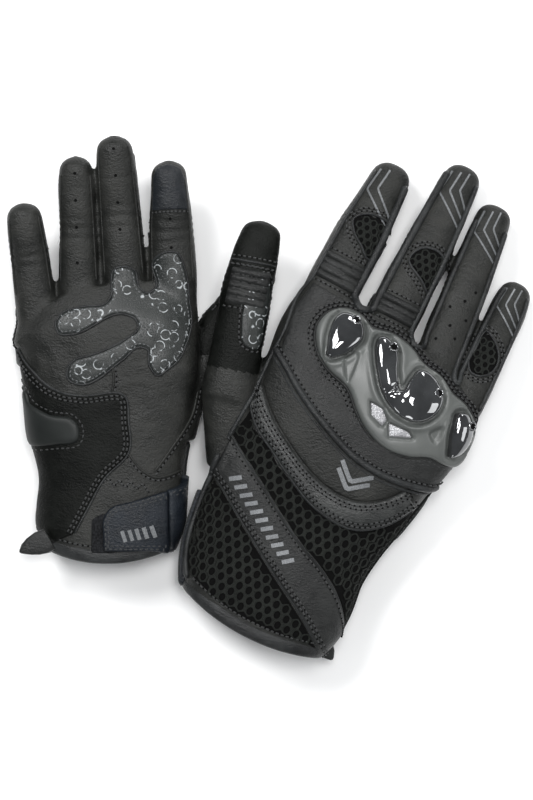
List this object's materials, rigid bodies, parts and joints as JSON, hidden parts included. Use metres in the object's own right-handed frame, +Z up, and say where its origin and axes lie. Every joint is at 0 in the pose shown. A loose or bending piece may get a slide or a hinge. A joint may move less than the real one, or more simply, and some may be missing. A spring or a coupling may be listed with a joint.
{
  "type": "pair of riding gloves",
  "caption": "Pair of short-cuff leather riding gloves, one back up and one palm up, with capped knuckle guards, jointed fingers and a peel-off wrist strap.",
  "frame": {"origin": "on the table, under the middle of the pair", "axes": "+Z up from the table; +Y towards the fingertips of the glove that lies palm up; +X from that glove towards the one that lies back up"},
  "size_m": [0.2524, 0.255, 0.0566],
  "materials": {
    "leather": "satin grained",
    "panel_leather": "satin",
    "moulded_plastic": "satin",
    "polished_cap": "smoked polished",
    "silver_mesh": "reflective open mesh",
    "grip_patch": "cell pattern",
    "hook_and_loop": "looped pile",
    "lining": "knitted"
  },
  "bodies": {
    "gloves": {"back_up_back_of_hand": "leather", "back_up_palm_of_hand": "leather", "back_up_hand_lining": "lining", "back_up_knuckle_panel": "panel_leather", "back_up_index_knuckle_cap": "polished_cap", "back_up_centre_knuckle_cap": "polished_cap", "back_up_little_knuckle_cap": "polished_cap", "back_up_knuckle_guard": "moulded_plastic", "back_up_vent_screen": "silver_mesh", "back_up_wrist_band": "panel_leather", "back_up_cuff_binding": "leather", "back_up_heel_panel": "panel_leather", "back_up_palm_slider": "moulded_plastic", "back_up_grip_patch": "grip_patch", "back_up_loop_patch": "hook_and_loop", "back_up_strap_anchor": "panel_leather", "back_up_pull_tab": "panel_leather", "palm_up_back_of_hand": "leather", "palm_up_palm_of_hand": "leather", "palm_up_hand_lining": "lining", "palm_up_knuckle_panel": "panel_leather", "palm_up_index_knuckle_cap": "polished_cap", "palm_up_centre_knuckle_cap": "polished_cap", "palm_up_little_knuckle_cap": "polished_cap", "palm_up_knuckle_guard": "moulded_plastic", "palm_up_vent_screen": "silver_mesh", "palm_up_wrist_band": "panel_leather", "palm_up_cuff_binding": "leather", "palm_up_heel_panel": "panel_leather", "palm_up_palm_slider": "moulded_plastic", "palm_up_grip_patch": "grip_patch", "palm_up_loop_patch": "hook_and_loop", "palm_up_strap_anchor": "panel_leather", "palm_up_pull_tab": "panel_leather"},
    "back_up_thumb_lower": {"back_up_thumb_base": "leather"},
    "back_up_thumb_upper": {"back_up_thumb_tip": "leather"},
    "back_up_index_lower": {"back_up_index_base": "leather", "back_up_index_flex_panel": "panel_leather"},
    "back_up_index_upper": {"back_up_index_tip": "leather"},
    "back_up_middle_lower": {"back_up_middle_base": "leather", "back_up_middle_flex_panel": "panel_leather"},
    "back_up_middle_upper": {"back_up_middle_tip": "leather"},
    "back_up_ring_lower": {"back_up_ring_base": "leather"},
    "back_up_ring_upper": {"back_up_ring_tip": "leather"},
    "back_up_little_lower": {"back_up_little_base": "leather"},
    "back_up_little_upper": {"back_up_little_tip": "leather"},
    "back_up_strap": {"back_up_closure_strap": "panel_leather"},
    "palm_up_thumb_lower": {"palm_up_thumb_base": "leather"},
    "palm_up_thumb_upper": {"palm_up_thumb_tip": "leather"},
    "palm_up_index_lower": {"palm_up_index_base": "leather", "palm_up_index_flex_panel": "panel_leather"},
    "palm_up_index_upper": {"palm_up_index_tip": "leather"},
    "palm_up_middle_lower": {"palm_up_middle_base": "leather", "palm_up_middle_flex_panel": "panel_leather"},
    "palm_up_middle_upper": {"palm_up_middle_tip": "leather"},
    "palm_up_ring_lower": {"palm_up_ring_base": "leather"},
    "palm_up_ring_upper": {"palm_up_ring_tip": "leather"},
    "palm_up_little_lower": {"palm_up_little_base": "leather"},
    "palm_up_little_upper": {"palm_up_little_tip": "leather"},
    "palm_up_strap": {"palm_up_closure_strap": "panel_leather"}
  },
  "joints": [
    {"name": "back_up_thumb_knuckle", "type": "hinge", "parent": "gloves", "child": "back_up_thumb_lower", "pos_m": [-0.01712, 0.02099, 0.0324], "axis": [0, 0, -1], "range_deg": [0, 8]},
    {"name": "back_up_thumb_middle_joint", "type": "hinge", "parent": "back_up_thumb_lower", "child": "back_up_thumb_upper", "pos_m": [-0.01111, 0.05344, 0.0324], "axis": [0, 0, -1], "range_deg": [0, 16]},
    {"name": "back_up_index_knuckle", "type": "hinge", "parent": "gloves", "child": "back_up_index_lower", "pos_m": [0.02919, 0.05351, 0.0284], "axis": [-0.8829, 0.4695, 0], "range_deg": [0, 65]},
    {"name": "back_up_index_middle_joint", "type": "hinge", "parent": "back_up_index_lower", "child": "back_up_index_upper", "pos_m": [0.04449, 0.08229, 0.02324], "axis": [-0.8829, 0.4695, 0], "range_deg": [0, 55]},
    {"name": "back_up_middle_knuckle", "type": "hinge", "parent": "gloves", "child": "back_up_middle_lower", "pos_m": [0.05706, 0.03706, 0.0284], "axis": [-0.891, 0.454, 0], "range_deg": [0, 65]},
    {"name": "back_up_middle_middle_joint", "type": "hinge", "parent": "back_up_middle_lower", "child": "back_up_middle_upper", "pos_m": [0.07594, 0.07412, 0.02255], "axis": [-0.891, 0.454, 0], "range_deg": [0, 56]},
    {"name": "back_up_ring_knuckle", "type": "hinge", "parent": "gloves", "child": "back_up_ring_lower", "pos_m": [0.07964, 0.01882, 0.0284], "axis": [-0.9239, 0.3827, 0], "range_deg": [0, 65]},
    {"name": "back_up_ring_middle_joint", "type": "hinge", "parent": "back_up_ring_lower", "child": "back_up_ring_upper", "pos_m": [0.0948, 0.05542, 0.02283], "axis": [-0.9239, 0.3827, 0], "range_deg": [0, 56]},
    {"name": "back_up_little_knuckle", "type": "hinge", "parent": "gloves", "child": "back_up_little_lower", "pos_m": [0.09436, 0.00234, 0.0284], "axis": [-0.8949, 0.4462, 0], "range_deg": [0, 65]},
    {"name": "back_up_little_middle_joint", "type": "hinge", "parent": "back_up_little_lower", "child": "back_up_little_upper", "pos_m": [0.10755, 0.02878, 0.02319], "axis": [-0.8949, 0.4462, 0], "range_deg": [0, 53]},
    {"name": "back_up_strap_peel", "type": "hinge", "parent": "gloves", "child": "back_up_strap", "pos_m": [-0.01851, -0.0434, 0.00465], "axis": [0.454, 0.891, 0], "range_deg": [0, 110]},
    {"name": "palm_up_thumb_knuckle", "type": "hinge", "parent": "gloves", "child": "palm_up_thumb_lower", "pos_m": [-0.0316, 0.02742, 0.01107], "axis": [0, 0, 1], "range_deg": [0, 14]},
    {"name": "palm_up_thumb_middle_joint", "type": "hinge", "parent": "palm_up_thumb_lower", "child": "palm_up_thumb_upper", "pos_m": [-0.01683, 0.04633, 0.01107], "axis": [0, 0, 1], "range_deg": [0, 28]},
    {"name": "palm_up_index_knuckle", "type": "hinge", "parent": "gloves", "child": "palm_up_index_lower", "pos_m": [-0.0466, 0.05342, 0.02467], "axis": [0.9994, 0.0349, 0], "range_deg": [0, 65]},
    {"name": "palm_up_index_middle_joint", "type": "hinge", "parent": "palm_up_index_lower", "child": "palm_up_index_upper", "pos_m": [-0.04764, 0.08324, 0.0278], "axis": [0.9994, 0.0349, 0], "range_deg": [0, 57]},
    {"name": "palm_up_middle_knuckle", "type": "hinge", "parent": "gloves", "child": "palm_up_middle_lower", "pos_m": [-0.07, 0.05642, 0.02467], "axis": [0.9976, 0.0698, 0], "range_deg": [0, 65]},
    {"name": "palm_up_middle_middle_joint", "type": "hinge", "parent": "palm_up_middle_lower", "child": "palm_up_middle_upper", "pos_m": [-0.07236, 0.09015, 0.02822], "axis": [0.9976, 0.0698, 0], "range_deg": [0, 57]},
    {"name": "palm_up_ring_knuckle", "type": "hinge", "parent": "gloves", "child": "palm_up_ring_lower", "pos_m": [-0.092, 0.05342, 0.02467], "axis": [0.9998, 0.0175, 0], "range_deg": [0, 65]},
    {"name": "palm_up_ring_middle_joint", "type": "hinge", "parent": "palm_up_ring_lower", "child": "palm_up_ring_upper", "pos_m": [-0.09254, 0.08424, 0.02791], "axis": [0.9998, 0.0175, 0], "range_deg": [0, 57]},
    {"name": "palm_up_little_knuckle", "type": "hinge", "parent": "gloves", "child": "palm_up_little_lower", "pos_m": [-0.1132, 0.04742, 0.02467], "axis": [0.9936, 0.1132, 0], "range_deg": [0, 65]},
    {"name": "palm_up_little_middle_joint", "type": "hinge", "parent": "palm_up_little_lower", "child": "palm_up_little_upper", "pos_m": [-0.1159, 0.07109, 0.02759], "axis": [0.9936, 0.1132, 0], "range_deg": [0, 56]},
    {"name": "palm_up_strap_peel", "type": "hinge", "parent": "gloves", "child": "palm_up_strap", "pos_m": [-0.04989, -0.02058, 0.03701], "axis": [0, 1, 0], "range_deg": [0, 110]}
  ],
  "couplings": [
    {"joint": "back_up_thumb_middle_joint", "follows": "back_up_thumb_knuckle", "ratio": 2},
    {"joint": "palm_up_thumb_middle_joint", "follows": "palm_up_thumb_knuckle", "ratio": 2}
  ]
}
